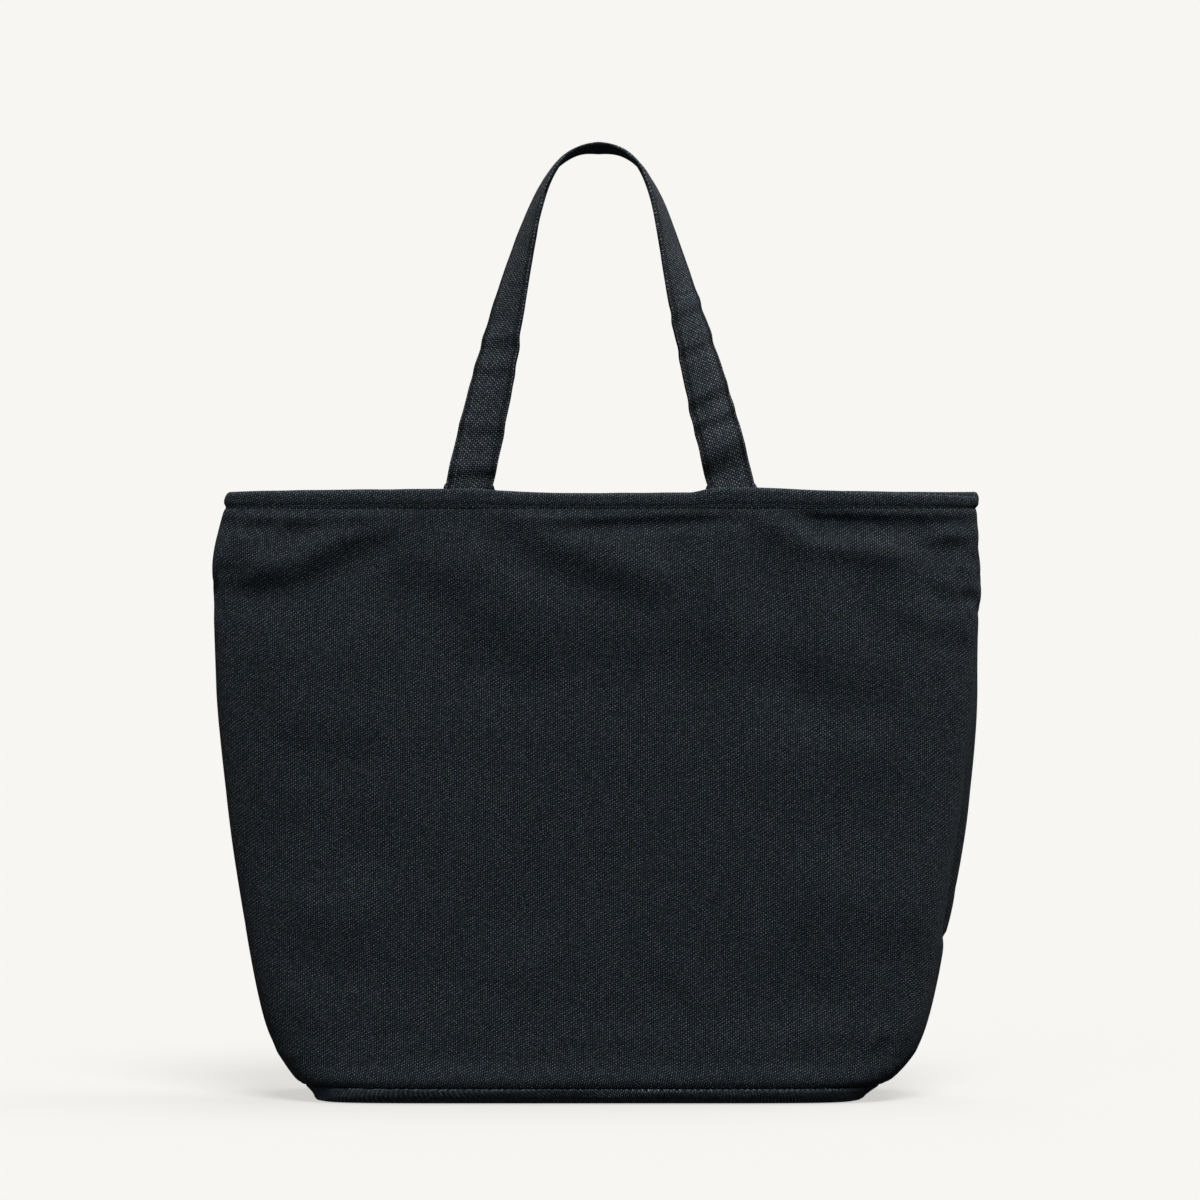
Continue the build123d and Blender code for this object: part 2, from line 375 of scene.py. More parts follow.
# ---- body ----------------------------------------------------------------
# Folds of each panel: (points along the fold, height, width) in millimetres. A point is (x, z). The
# cloth stands out above the line and dips below it, or the other way where the height is negative.
FRONT_FOLDS = [
    ([(-268, 332), (-236, 328), (-206, 326), (-174, 337), (-137, 355), (-104, 368)], 7.0, 14),
    ([(-268, 374), (-232, 365), (-187, 361), (-143, 367), (-110, 373)], 3.6, 8),
    ([(-60, 374), (-36, 345), (-5, 331), (30, 320), (56, 313)], 6.8, 17),
    ([(-150, 336), (-104, 330), (-70, 316)], 4.2, 22),
    ([(-244, 350), (-200, 350), (-160, 353)], 1.5, 9),
    ([(-46, 361), (-5, 362), (58, 366), (100, 369)], 4.6, 6.5),
    ([(108, 378), (128, 360), (146, 353), (183, 350), (222, 342)], -6.2, 11),
    ([(126, 372), (183, 366), (256, 367)], 3.2, 6),
    ([(250, 350), (218, 351), (200, 339)], 1.2, 5),
    ([(250, 316), (214, 321), (202, 334)], 1.3, 6),
    ([(250, 284), (214, 293), (178, 306)], 1.8, 9),
    ([(236, 301), (211, 309), (196, 318)], -0.7, 7),
    ([(-78, 296), (-49, 278), (-20, 256)], 3.0, 22),
    ([(-130, 300), (-40, 292), (40, 290), (100, 284)], 4.4, 36),
    ([(-214, 227), (-165, 225), (-120, 224)], 3.2, 22),
    ([(-230, 292), (-175, 297), (-125, 296)], -2.2, 24),
    ([(-228, 184), (-180, 176), (-120, 170)], 3.2, 34),
    ([(-216, 112), (-180, 108), (-130, 100)], 4.4, 34),
    ([(-204, 52), (-160, 50), (-110, 44)], 2.0, 18),
    ([(112, 236), (155, 232), (196, 230)], -3.0, 22),
    ([(84, 280), (120, 272), (156, 264)], 2.4, 18),
    ([(104, 116), (160, 104), (216, 90)], 5.6, 36),
    ([(120, 90), (160, 68), (196, 50)], 2.8, 22),
    ([(110, 42), (150, 34), (190, 32)], 2.0, 16),
    ([(-210, 146), (-184, 147), (-158, 149)], 2.0, 18),
    ([(-90, 102), (-55, 102), (-20, 101)], -1.6, 28),
    ([(24, 92), (48, 70), (72, 50)], 1.1, 10),
    ([(164, 30), (176, 35), (188, 48)], 1.5, 8),
]
BACK_FOLDS = [
    ([(244, 332), (196, 331), (150, 346), (104, 368)], 3.0, 11),
    ([(62, 370), (20, 344), (-30, 330), (-84, 316)], 2.6, 13),
    ([(-114, 371), (-150, 352), (-214, 340)], -2.4, 10),
    ([(-238, 318), (-214, 322), (-198, 336)], 1.4, 8),
    ([(190, 230), (140, 226), (90, 222)], 2.2, 24),
    ([(-60, 250), (-110, 240), (-160, 236)], -2.0, 24),
    ([(-120, 90), (-160, 68), (-196, 50)], 2.2, 24),
    ([(40, 110), (0, 96), (-40, 84)], 1.2, 20),
]
# How far each side folds in along its seam, and how far the back stands out behind the fold, at each
# height: (height, depth) in millimetres.
SIDE_FOLD = [(10, 0.3), (40, 2.0), (100, 4.0), (180, 3.5), (260, 2.5), (330, 0.6), (372, 0.0), (385, 0.0)]
RIGHT_EDGE = [
    (10, 0.0), (92, 0.3), (98, 1.5), (103, 5.4), (112, 6.8), (150, 6.4), (220, 4.6), (280, 2.4), (330, 0.0),
    (385, 0.0),
]
LEFT_EDGE = [(10, 0.0), (130, 0.0), (190, 0.8), (260, 1.2), (330, 0.3), (360, 0.0), (385, 0.0)]


def relief(x, z, folds):
    """Height of the folds over a panel, in metres."""
    steps = 60
    total = np.zeros_like(x)
    for points, height, width in folds:
        path = curve(points, steps) * MM
        away = np.stack([x[..., None] - path[:, 0], z[..., None] - path[:, 1]], -1)
        nearest = (away**2).sum(-1).argmin(-1)
        away = np.take_along_axis(away, nearest[..., None, None], 2)[..., 0, :]
        along = np.gradient(path, axis=0)[nearest]
        across = np.stack([-along[..., 1], along[..., 0]], -1)
        across *= np.sign(across[..., 1:]) / np.linalg.norm(across, axis=-1, keepdims=True)
        above = (away * across).sum(-1) / (width * MM)
        distance = np.linalg.norm(away, axis=-1) / (width * MM)
        place = np.clip(nearest / (steps - 1), 0.03, 0.97)
        fade = np.clip(np.sin(math.pi * place) * 1.5, 0, 1)  # a fold dies out at both its ends
        total += height * MM * fade * above * np.exp(-(distance**2))
    return total


def panel_surface(settled, facing):
    """The outside of a settled panel with its folds, as (grid, its unit normals)."""
    grid = resample(settled, crowded(ROWS, 0.45), crowded(COLUMNS, 0.6))
    normal = grid_normals(grid)
    x, y, z = np.moveaxis(grid, 2, 0)
    height = (z - SEAM_Z) / (HEM_Z - SEAM_Z)
    calm = np.clip(np.minimum(height * 14, (1 - height) * 55), 0, 1)
    roll = 0.7 * MM * np.exp(-(((z / MM - 17) / 6) ** 2))  # the cloth rolls out over the base seam
    mottle = noise_field(grid.shape[:2], (9, 14), 5 + facing) * 0.7 * MM
    mottle += noise_field(grid.shape[:2], (24, 36), 9 + facing) * 0.18 * MM
    folds = relief(x, z, FRONT_FOLDS if facing == FRONT else BACK_FOLDS) + mottle
    upright = normal * (0.25, 1, 1)  # folds hardly move the side edges sideways
    grid = grid + upright * (folds * calm)[..., None] + normal * roll[..., None]
    z_mm = z / MM
    inward = smooth(z_mm, SIDE_FOLD) * np.exp(-((y / (11 * MM)) ** 2)) * MM
    ridge = np.where(x > 0, smooth(z_mm, RIGHT_EDGE), smooth(z_mm, LEFT_EDGE)) * MM
    inward += 0.6 * ridge * np.exp(-(((y + 8 * MM) / (17 * MM)) ** 2))
    outward = 0.75 * ridge * np.exp(-(((y - 12 * MM) / (7 * MM)) ** 2))
    seam = 1.1 * MM * np.exp(-((y / (2.2 * MM)) ** 2))  # a groove along the side seam
    grid[..., 0] += np.sign(x) * (outward - inward - seam) * (np.abs(x) > 0.1)
    # The cloth dips in to its seams with the base and the hem.
    tuck = 1.3 * MM * np.exp(-(((z_mm - SEAM_Z / MM) / 2.0) ** 2))
    tuck += 0.4 * MM * np.exp(-(((z_mm - HEM_Z / MM) / 1.6) ** 2))
    grid -= normal * tuck[..., None]
    return grid, grid_normals(grid)


def cloth_uv(grid):
    """Each point's place on the flat cloth, in metres, from the distances along rows and columns."""
    across = np.linalg.norm(np.diff(grid, axis=1), axis=2)
    across = np.concatenate([np.zeros((grid.shape[0], 1)), np.cumsum(across, 1)], 1)
    across -= across[:, across.shape[1] // 2][:, None]
    up = np.linalg.norm(np.diff(grid, axis=0), axis=2)
    up = np.concatenate([np.zeros((1, grid.shape[1])), np.cumsum(up, 0)], 0)
    up = up.mean(1, keepdims=True) + np.zeros_like(up)
    return np.stack([across, up], 2)


def make_panel(name, settled, facing):
    """A panel's cloth, and the grid of points of its outside."""
    grid, normal = panel_surface(settled, facing)
    inner = grid - normal * CANVAS
    height = (grid[..., 2] - SEAM_Z) / (HEM_Z - SEAM_Z)
    wear_and_shade = np.exp(-(((height - 0.02) / 0.03) ** 2)) * 0.6
    wear_and_shade += 0.25 * np.exp(-((grid[..., 1] / (14 * MM)) ** 2))
    return thin_solid(name, grid, inner, cloth_uv(grid), wear_and_shade), grid


# ---- hem -----------------------------------------------------------------
# The folded hem in section: (outwards from the panel's outside, up from its lower edge), millimetres.
HEM_SECTION = [
    (-0.45, -0.6), (0.1, -0.2), (0.4, 0.7), (0.22, 1.6), (0.55, 2.5), (0.95, 4.2), (1.05, 6.2), (0.95, 8.2),
    (0.7, 9.8), (0.15, 11.2), (-0.85, 11.95), (-2.2, 12.0), (-3.3, 11.3), (-3.9, 9.9), (-4.2, 8.2),
    (-4.2, 6.2), (-4.1, 4.2), (-3.8, 2.5), (-3.2, 1.6), (-3.6, 0.8), (-3.5, 0.1), (-2.7, -0.4),
]
HEM_DEEP = 12  # its height, in millimetres
HEM_MIDDLE = -1.2  # the middle of its thickness, in millimetres outwards
HEM_ROW, HEM_INNER_ROW = 3, 18  # the points of the section where the stitches lie
HEM_ROW_UP = 1.6  # how far those points are up from the lower edge, in millimetres
# Height of the hem's top edge along the front, from its level: (x, rise) in millimetres.
FRONT_HEM_TOP = [
    (-237, -1.2), (-200, -0.6), (-100, 0.2), (-80, 0.5), (-52, -1.8), (0, -2.9), (54, -2.4), (76, 1.2),
    (96, 1.0), (140, -0.6), (200, -2.6), (237, -4.0),
]
BACK_HEM_TOP = [(-237, -1.4), (-120, -0.8), (-80, 0.6), (-20, -1.2), (60, -0.8), (100, 0.4), (237, -1.2)]


def hem_rings(facing):
    """Rings of the section along the mouth, from the left side seam to the right one."""
    count = 600
    low = half_outline(*section_at(HEM_Z, MOUTH_OUTLINE), facing, count)
    high = half_outline(*section_at(MOUTH_Z, MOUTH_OUTLINE), facing, count)
    low[:, 0] += lean(HEM_Z)
    high[:, 0] += lean(MOUTH_Z)
    tangent = np.gradient(low, axis=0)
    outward = np.stack([tangent[:, 1], -tangent[:, 0]], 1) * -facing
    outward /= np.linalg.norm(outward, axis=1, keepdims=True)
    length = np.concatenate([[0], np.cumsum(np.linalg.norm(np.diff(low, axis=0), axis=1))])
    to_end = np.minimum(length, length[-1] - length)
    rise = smooth(low[:, 0] / MM, FRONT_HEM_TOP if facing == FRONT else BACK_HEM_TOP)
    waver = noise_field((count, 1), (34, 1), 21 + facing)[:, 0]
    pucker = 0.5 + 0.5 * np.cos(2 * math.pi * length / STITCH_PITCH)
    rings = np.zeros((count, len(HEM_SECTION), 3))
    for k, (out, up) in enumerate(HEM_SECTION):
        share = np.clip(up / HEM_DEEP, 0, 1)
        near_row = math.exp(-(((up - HEM_ROW_UP) / 1.1) ** 2))
        swell = 1 + 0.4 * np.exp(-((to_end / (5 * MM)) ** 2)) * math.sin(math.pi * share)
        from_middle = out - HEM_MIDDLE
        dent = 0.3 * near_row * pucker * np.sign(from_middle)
        offset = from_middle * swell + HEM_MIDDLE + 0.16 * waver - dent
        base = low + (high - low) * share
        rings[:, k, :2] = base + outward * (offset * MM)[:, None]
        rings[:, k, 2] = HEM_Z + (up + rise * share**0.7 + 0.15 * waver) * MM
    return rings, np.concatenate([outward, np.zeros((count, 1))], 1)


def make_hem(name, facing):
    """The hem and its stitches."""
    rings, outward = hem_rings(facing)
    along = np.concatenate([[0], np.cumsum(np.linalg.norm(np.diff(rings[:, 6], axis=0), axis=1))])
    around = np.linalg.norm(np.diff(np.array(HEM_SECTION), axis=0), axis=1)
    around = np.concatenate([[0], np.cumsum(around)]) * MM
    uv = uv_grid(along - along[-1] / 2, around)
    top = np.array([math.exp(-(((up - 11.9) / 1.4) ** 2)) for _, up in HEM_SECTION])
    wear_and_shade = np.broadcast_to(top, rings.shape[:2]) * 0.9
    hem = tube_solid(name, rings, uv, wear_and_shade)
    rows = [(rings[4:-4, HEM_ROW], outward[4:-4]), (rings[4:-4, HEM_INNER_ROW], -outward[4:-4])]
    return hem, stitches(f"{name}_stitches", rows)


# ---- base ----------------------------------------------------------------
def full_outline(half_width, half_depth, squareness, count):
    """The closed outline, evenly spaced, starting at the left side seam."""
    front = half_outline(half_width, half_depth, squareness, FRONT, count // 2 + 1)
    back = half_outline(half_width, half_depth, squareness, BACK, count // 2 + 1)
    return np.concatenate([front[:-1], back[:0:-1]])


def make_base(name):
    """The base: flat on the floor, turned up all round to the seam, and hollow above."""
    around = 360
    # Each level is a ring: (share of the outline, height, inset), in millimetres. They run from the middle
    # of the underside out, up the outside, over the top edge and back over the inside.
    levels = [(0.02, 0.0), (0.3, 0.0), (0.6, 0.0), (0.85, 0.0), (0.96, 0.0), (0.99, 0.12)]
    levels = [(share, z, 0) for share, z in levels]
    levels += [(1, z, 0.0) for z in (0.7, 2.0, 3.8, 5.4, 7.0, 8.4)]
    levels += [(1, 9.3, 0.5), (1, 9.9, 1.3), (1, 9.9, 2.4), (1, 8.8, 2.2), (1, 6.0, 1.8), (1, 3.2, 1.8)]
    levels += [(0.95, 1.6, 0), (0.85, 1.5, 0), (0.6, 1.5, 0), (0.3, 1.5, 0), (0.02, 1.5, 0)]
    ripple = noise_field((len(levels), around + 1), (6, 40), 31)
    ripple[:, -1] = ripple[:, 0]
    rings, uv = [], []
    for k, (share, z, inset) in enumerate(levels):
        size = section_at(z * MM, BASE_OUTLINE)
        ring = full_outline(size[0] - inset * MM, size[1] - inset * MM, size[2], around) * share
        ring[:, 0] += lean(z * MM)
        edge = 0.5 * MM * ripple[k, :-1] * (1.5 < z < 9)
        grow = 1 + edge / np.linalg.norm(ring, axis=1)
        ring = ring * grow[:, None]
        rings.append(np.concatenate([ring, np.full((around, 1), z * MM)], 1))
        uv.append(ring * (1 + z * MM / 0.06))
    wear_and_shade = np.array([[0.8 if 0 < z < 2.5 else 0.0] * around for _, z, _ in levels])
    return tube_solid(name, np.array(rings), np.array(uv), wear_and_shade, ends="disc")


# ---- bindings ------------------------------------------------------------
# The folded tape in section: (into the bag from the seam, across the seam), in millimetres.
TAPE_SECTION = [
    (0, -1.3), (2.2, -1.5), (4.5, -1.45), (6.6, -1.2), (8.2, -1.3), (9.0, -0.6),
    (9.0, 0.6), (8.2, 1.3), (6.6, 1.2), (4.5, 1.45), (2.2, 1.5), (0, 1.3),
]
TAPE_ROW = 3  # the point of the tape's section where the stitches lie
TAPE_POINTS = np.arange(len(TAPE_SECTION)) * 1.6 * MM  # about how far each point is round the section


def make_side_binding(name, seam, side):
    """Folded tape over the raw edges inside a side seam, and its stitches. seam is the seam's line."""
    line = even(seam, 200)[4:-4]
    waver = noise_field((len(line), 1), (26, 1), 41 + side)[:, 0]
    rings = np.zeros((len(line), len(TAPE_SECTION), 3))
    for k, (inward, across) in enumerate(TAPE_SECTION):
        rings[:, k, 0] = line[:, 0] - side * (inward + 1.0) * MM
        rings[:, k, 1] = (across + 1.1 * waver * inward / 9) * MM
        rings[:, k, 2] = line[:, 2]
    binding = tube_solid(name, rings, uv_grid(line[:, 2], TAPE_POINTS))
    rows = []
    for point, facing in ((TAPE_ROW, FRONT), (len(TAPE_SECTION) - 1 - TAPE_ROW, BACK)):
        normal = np.zeros((len(line), 3))
        normal[:, 1] = facing
        rows.append((rings[:, point], normal))
    return binding, stitches(f"{name}_stitches", rows)


def make_base_binding(name):
    """Folded tape over the raw edges of the base seam, lying just above the base."""
    around = 360
    size = section_at(SEAM_Z)
    rings = []
    for inward, up in TAPE_SECTION:
        inset = (inward + 2.2) * MM
        ring = full_outline(size[0] - inset, size[1] - inset, size[2], around)
        ring[:, 0] += lean(SEAM_Z)
        rings.append(np.concatenate([ring, np.full((around, 1), SEAM_Z + (up + 1.9) * MM)], 1))
    rings = np.array(rings)
    binding = tube_solid(name, rings, uv_grid(TAPE_POINTS, np.arange(around) * 2.9 * MM), ends="joined")
    up = np.tile([0.0, 0.0, 1.0], (around + 1, 1))
    row = rings[len(TAPE_SECTION) - 1 - TAPE_ROW]
    return binding, stitches(f"{name}_stitches", [(np.concatenate([row, row[:1]]), up)])


# ---- straps --------------------------------------------------------------
# The middle line of a handle, from its left foot to its right one: (x, z) in millimetres.
HANDLE_LINE = [
    (-81.5, 383), (-66.2, 452.7), (-55.1, 503), (-45.7, 540.5), (-37.8, 565.6), (-27.6, 585.5), (-14, 596.2),
    (1, 598.4), (15, 596.2), (27.5, 585.5), (37.4, 565.6), (44.4, 540.5), (53.9, 503), (66.9, 452.7),
    (84.4, 383),
]
# Turn of the strap about its own line, in degrees, from its foot (0) to the crown (1).
TWIST = [(0, 0), (0.05, 3), (0.45, 44), (0.8, 79), (0.88, 86), (1, 95.5)]
# Soft buckles across the front handle's legs: (side, height, depth, width) in millimetres.
BUCKLES = [
    (LEFT, 475, 1.5, 6), (LEFT, 457, 1.0, 5), (LEFT, 420, 1.5, 6), (LEFT, 393, 2.4, 6), (RIGHT, 495, 1.5, 5),
    (RIGHT, 473, 1.4, 5), (RIGHT, 441, 2.0, 6), (RIGHT, 426, 1.4, 5), (RIGHT, 402, 5.0, 12),
]
# One face of the strap in section: (across, half thickness) in millimetres, for half its width.
STRAP_EDGE = [
    (14.75, 0.4), (14.45, 0.95), (13.7, 1.3), (12.7, 1.25), (12.05, 0.95), (11.4, 1.3), (10, 1.4), (6, 1.4),
    (2, 1.35),
]
STRAP_ROW = 4  # the point of that section where the stitches lie
STRAP_ROW_OUT = STRAP_EDGE[STRAP_ROW][0] * MM
STATIONS = 340


def strap_stations(facing, flat_share):
    """Places along an upright handle, with the directions across the strap and out of its face. The
    first flat_share of each leg isn't turned."""
    line = curve(HANDLE_LINE, STATIONS) * MM
    tangent = np.gradient(line, axis=0)
    tangent /= np.linalg.norm(tangent, axis=1, keepdims=True)
    up_share = 1 - np.abs(1 - 2 * np.linspace(0, 1, STATIONS))
    twist = np.radians(smooth(np.clip((up_share - flat_share) / (1 - flat_share), 0, 1), TWIST))
    nothing = np.zeros(STATIONS)
    place = np.stack([line[:, 0], nothing + facing * STRAP_Y, line[:, 1]], 1)
    forward = np.stack([tangent[:, 0], nothing, tangent[:, 1]], 1)
    flat = np.cos(twist)
    across = np.stack([tangent[:, 1] * flat, facing * np.sin(twist), -tangent[:, 0] * flat], 1)
    face = np.cross(forward, across)
    # Each foot is cut level, at the hem.
    level = np.clip((line[:, 1] - line[0, 1]) / (18 * MM), 0, 1)[:, None]
    sideways = np.stack([np.sign(across[:, 0]), nothing, nothing], 1)
    across = np.where(level < 1, level * across + (1 - level) * sideways, across)
    return place, across / np.linalg.norm(across, axis=1, keepdims=True), face


def hung_over_hem(place, across, face):
    """The back handle's places, from inside the hem, over it and down outside."""
    hinge = np.array([0, -HINGE[1], HINGE[2]])
    reach = hinge[1] - STRAP_Y
    parts = []
    for foot in (0, -1):
        angle = np.linspace(0, HANG_ANGLE, 16)[:-1]
        x = place[foot, 0] * (1 + 0.03 * (1 - angle / HANG_ANGLE))
        y = hinge[1] - reach * np.cos(angle)
        z = hinge[2] + reach * (1 - 0.3 * np.sin(angle)) * np.sin(angle)  # close over the hem
        over = np.stack([x, y, z], 1)
        vectors = [np.stack([turned(v[foot], -a) for a in angle]) for v in (across, face)]
        parts.append([over, *vectors])
    swung = [hinge + turned(place - hinge, -HANG_ANGLE)]
    swung += [turned(vectors, -HANG_ANGLE) for vectors in (across, face)]
    return [np.concatenate([parts[0][k], swung[k], parts[1][k][::-1]]) for k in range(3)]


def strap_section():
    """A strap in section: places across it, half its thickness there, and places round both its faces."""
    half = np.array(STRAP_EDGE) * MM
    widths = np.concatenate([-half[:, 0], [0], half[::-1, 0]])
    thick = np.concatenate([half[:, 1], [half[-1, 1]], half[::-1, 1]])
    return widths, thick, np.concatenate([widths, 2 * widths[-1] + widths])


def make_strap(name, place, across, face, buckles, seed):
    """A strap along the given places, and two rows of stitches on each of its faces."""
    widths, thick, around = strap_section()
    count, points = len(place), len(widths)
    along = np.concatenate([[0], np.cumsum(np.linalg.norm(np.diff(place, axis=0), axis=1))])
    high = (along > 0.35 * along[-1]) & (along < 0.65 * along[-1])  # no buckles over the crown
    crown = np.exp(-(((along / along[-1] - 0.5) / 0.12) ** 2))
    waver = noise_field((count, points), (40, 4), seed) * 0.22 * MM
    pucker = 0.5 + 0.5 * np.cos(2 * math.pi * along / STITCH_PITCH)
    rise = waver + (0.35 + 0.7 * crown[:, None]) * MM * (widths / widths[-1])[None] ** 2
    for side, height, depth, width in buckles:
        gap = place[:, 2][:, None] - height * MM + side * 0.18 * widths[None]
        near = gap / (width * MM) * np.exp(-((gap / (width * MM)) ** 2))
        rise -= depth * MM * near * ((place[:, 0] * side > 0) & ~high)[:, None]
    near_row = np.exp(-(((np.abs(widths) - STRAP_ROW_OUT) / (0.9 * MM)) ** 2))
    thick = thick[None] - 0.25 * MM * near_row[None] * (0.6 + pucker[:, None])
    fringe = 1 + 0.012 * noise_field((count, 1), (60, 1), seed + 1)
    spread = place[:, None] + across[:, None] * (widths[None] * fringe)[..., None]
    outer = spread + face[:, None] * (rise + thick)[..., None]
    inner = spread + face[:, None] * (rise - thick)[..., None]
    rings = np.concatenate([outer, inner[:, ::-1]], 1)
    # Painted shade: the strap is darkened along its stitch lines, where the sewing sinks in.
    stitch_line_shade = np.broadcast_to(-1.5 * np.concatenate([near_row, near_row[::-1]]), (count, 2 * points))
    strap = tube_solid(name, rings, uv_grid(along, around)[..., ::-1], stitch_line_shade)
    rows = []
    for k in (STRAP_ROW, points - 1 - STRAP_ROW):
        rows += [(outer[2:-2, k], face[2:-2]), (inner[2:-2, k], -face[2:-2])]
    return strap, stitches(f"{name}_stitches", rows)


def make_strap_foot(name, facing, foot_x):
    """The end of a strap, sewn flat inside the hem, and its box and cross of stitches."""
    z = np.linspace(HEM_Z + 0.6 * MM, MOUTH_Z - 0.9 * MM, 14)
    widths, thick, around = strap_section()
    taper = np.clip((z - z[0]) / MM, 0.35, 1)[:, None]
    x = np.broadcast_to(foot_x + widths, (len(z), len(widths)))
    level = np.broadcast_to(z[:, None], x.shape)
    outer = np.stack([x, facing * (STRAP_Y + thick * taper), level], 2)
    inner = np.stack([x, facing * (STRAP_Y - thick * taper), level], 2)
    rings = np.concatenate([outer, inner[:, ::-1]], 1)
    strap = tube_solid(name, rings, uv_grid(z, around)[..., ::-1])
    low, high, wide = z[0] + 1.6 * MM, z[-1] - 1.4 * MM, STRAP_ROW_OUT
    low_left, low_right, high_right, high_left = (-wide, low), (wide, low), (wide, high), (-wide, high)
    corners = [low_left, low_right, high_right, high_left, low_left, high_right, low_right, high_left]
    face_y = facing * (STRAP_Y - 1.35 * MM)
    t = np.linspace(0.04, 0.96, 12)[:, None]
    rows = []
    for (x0, z0), (x1, z1) in zip(corners[:-1], corners[1:]):
        start = np.array([foot_x + x0, face_y, z0])
        end = np.array([foot_x + x1, face_y, z1])
        rows.append((start + (end - start) * t, np.tile([0.0, -facing, 0.0], (12, 1))))
    return strap, stitches(f"{name}_stitches", rows)


# ---- materials -----------------------------------------------------------
class Nodes:
    """Short ways to add shader nodes to one material."""

    def __init__(self, name):
        self.material = bpy.data.materials.new(name)
        self.material.use_nodes = True
        self.tree = self.material.node_tree
        self.shader = self.tree.nodes["Principled BSDF"]

    def add(self, kind, inputs=(), **settings):
        node = self.tree.nodes.new(kind)
        for key, value in settings.items():
            setattr(node, key, value)
        for key, value in dict(inputs).items():
            if isinstance(value, bpy.types.NodeSocket):
                self.tree.links.new(value, node.inputs[key])
            else:
                node.inputs[key].default_value = value
        return node

    def math(self, operation, *values):
        return self.add("ShaderNodeMath", enumerate(values), operation=operation).outputs[0]

    def vary(self, value, least, by, amount):
        """value * (least + by * amount)"""
        return self.math("MULTIPLY", value, self.math("ADD", least, self.math("MULTIPLY", by, amount)))

    def mix(self, amount, low, high):
        inputs = {"Factor": amount, "A": low, "B": high}
        return self.add("ShaderNodeMix", inputs, data_type="FLOAT").outputs["Result"]

    def noise(self, vector, scale, detail=2.0, roughness=0.5):
        inputs = {"Vector": vector, "Scale": scale, "Detail": detail, "Roughness": roughness}
        return self.add("ShaderNodeTexNoise", inputs).outputs["Fac"]

    def vector(self, *values):
        return self.add("ShaderNodeCombineXYZ", enumerate(values)).outputs[0]

    def tint(self, colour, amount):
        """A colour times a value."""
        return self.add("ShaderNodeVectorMath", {0: colour, "Scale": amount}, operation="SCALE").outputs[0]

    def link(self, value, socket):
        self.tree.links.new(value, self.shader.inputs[socket])


def canvas(name, colour, warp=1.4 * MM, weft=1.15 * MM, depth=0.45 * MM):
    """Plain-woven cotton canvas. warp and weft are the distances between its threads, and depth is how
    far they rise. The weave is relief in the shading, from each point's place on the flat cloth, and
    painted shade in the colour, which darkens from each thread's crown into the gaps between threads.
    Each crossing of threads differs a little in height and dye, and each thread in thickness along it."""
    n = Nodes(name)
    cloth = n.add("ShaderNodeUVMap", uv_map="cloth").outputs[0]
    split = n.add("ShaderNodeSeparateXYZ", {0: cloth})
    slow = n.noise(cloth, 45.0, 2.0)
    u = n.math("DIVIDE", split.outputs[0], warp)
    v = n.math("DIVIDE", split.outputs[1], weft)
    u = n.math("ADD", u, n.math("MULTIPLY", slow, 1.2))
    v = n.math("ADD", v, n.math("MULTIPLY", slow, 0.8))
    v = n.math("ADD", v, n.math("MULTIPLY", u, 0.25))  # the weft runs a little off square
    su = n.math("SINE", n.math("MULTIPLY", u, math.pi))
    sv = n.math("SINE", n.math("MULTIPLY", v, math.pi))
    a, b = n.math("ABSOLUTE", su), n.math("ABSOLUTE", sv)
    warp_up = n.math("GREATER_THAN", n.math("MULTIPLY", su, sv), 0.0)
    over = n.math("MULTIPLY", a, n.math("POWER", b, 0.45))
    under = n.math("MULTIPLY", b, n.math("POWER", a, 0.45))
    height = n.mix(warp_up, n.math("MULTIPLY", under, 0.62), over)
    column, row = n.math("FLOOR", u), n.math("FLOOR", v)
    chance = n.add("ShaderNodeTexWhiteNoise", {"Vector": n.vector(column, row)}, noise_dimensions="3D")
    warp_line = n.vector(column, n.math("MULTIPLY", v, 0.06))
    weft_line = n.vector(n.math("MULTIPLY", u, 0.06), row, 7.0)
    slub = n.mix(warp_up, n.noise(weft_line, 1.3, 1.0), n.noise(warp_line, 1.3, 1.0))
    height = n.vary(height, 0.74, chance.outputs["Value"], 0.44)
    patches = n.noise(cloth, 14.0, 3.0)
    fibres = n.noise(cloth, 2600.0, 2.0, 0.7)
    # Painted shade: the colour darkens from each thread's crown down into the gaps between threads.
    shade = n.math("ADD", 0.04, n.math("MULTIPLY", n.math("POWER", height, 2.3), 5.2))
    shade = n.vary(shade, 0.84, slub, 0.32)
    shade = n.vary(shade, 0.86, patches, 0.28)
    shade = n.vary(shade, 0.85, fibres, 0.30)
    wear_and_shade_amount = n.add("ShaderNodeAttribute", attribute_name="wear_and_shade").outputs["Fac"]
    # Paler where the cloth is worn, and darker where painted shade is given.
    shade = n.vary(shade, 1.0, wear_and_shade_amount, 0.55)
    inputs = {0: chance.outputs["Color"], 1: (0.36, 0.28, 0.28), 2: (0.82, 0.86, 0.86)}
    dye = n.add("ShaderNodeVectorMath", inputs, operation="MULTIPLY_ADD").outputs[0]
    dyed = n.add("ShaderNodeVectorMath", {0: n.tint(colour, shade), 1: dye}, operation="MULTIPLY")
    n.link(dyed.outputs[0], "Base Color")
    n.link(n.math("SUBTRACT", 0.93, n.math("MULTIPLY", height, 0.12)), "Roughness")
    relief_node = n.add("ShaderNodeBump", {"Height": height, "Distance": depth, "Strength": 1.0})
    n.link(relief_node.outputs[0], "Normal")
    n.shader.inputs["Specular IOR Level"].default_value = 0.1
    n.shader.inputs["Sheen Weight"].default_value = 0.02
    n.shader.inputs["Sheen Roughness"].default_value = 0.45
    return n.material


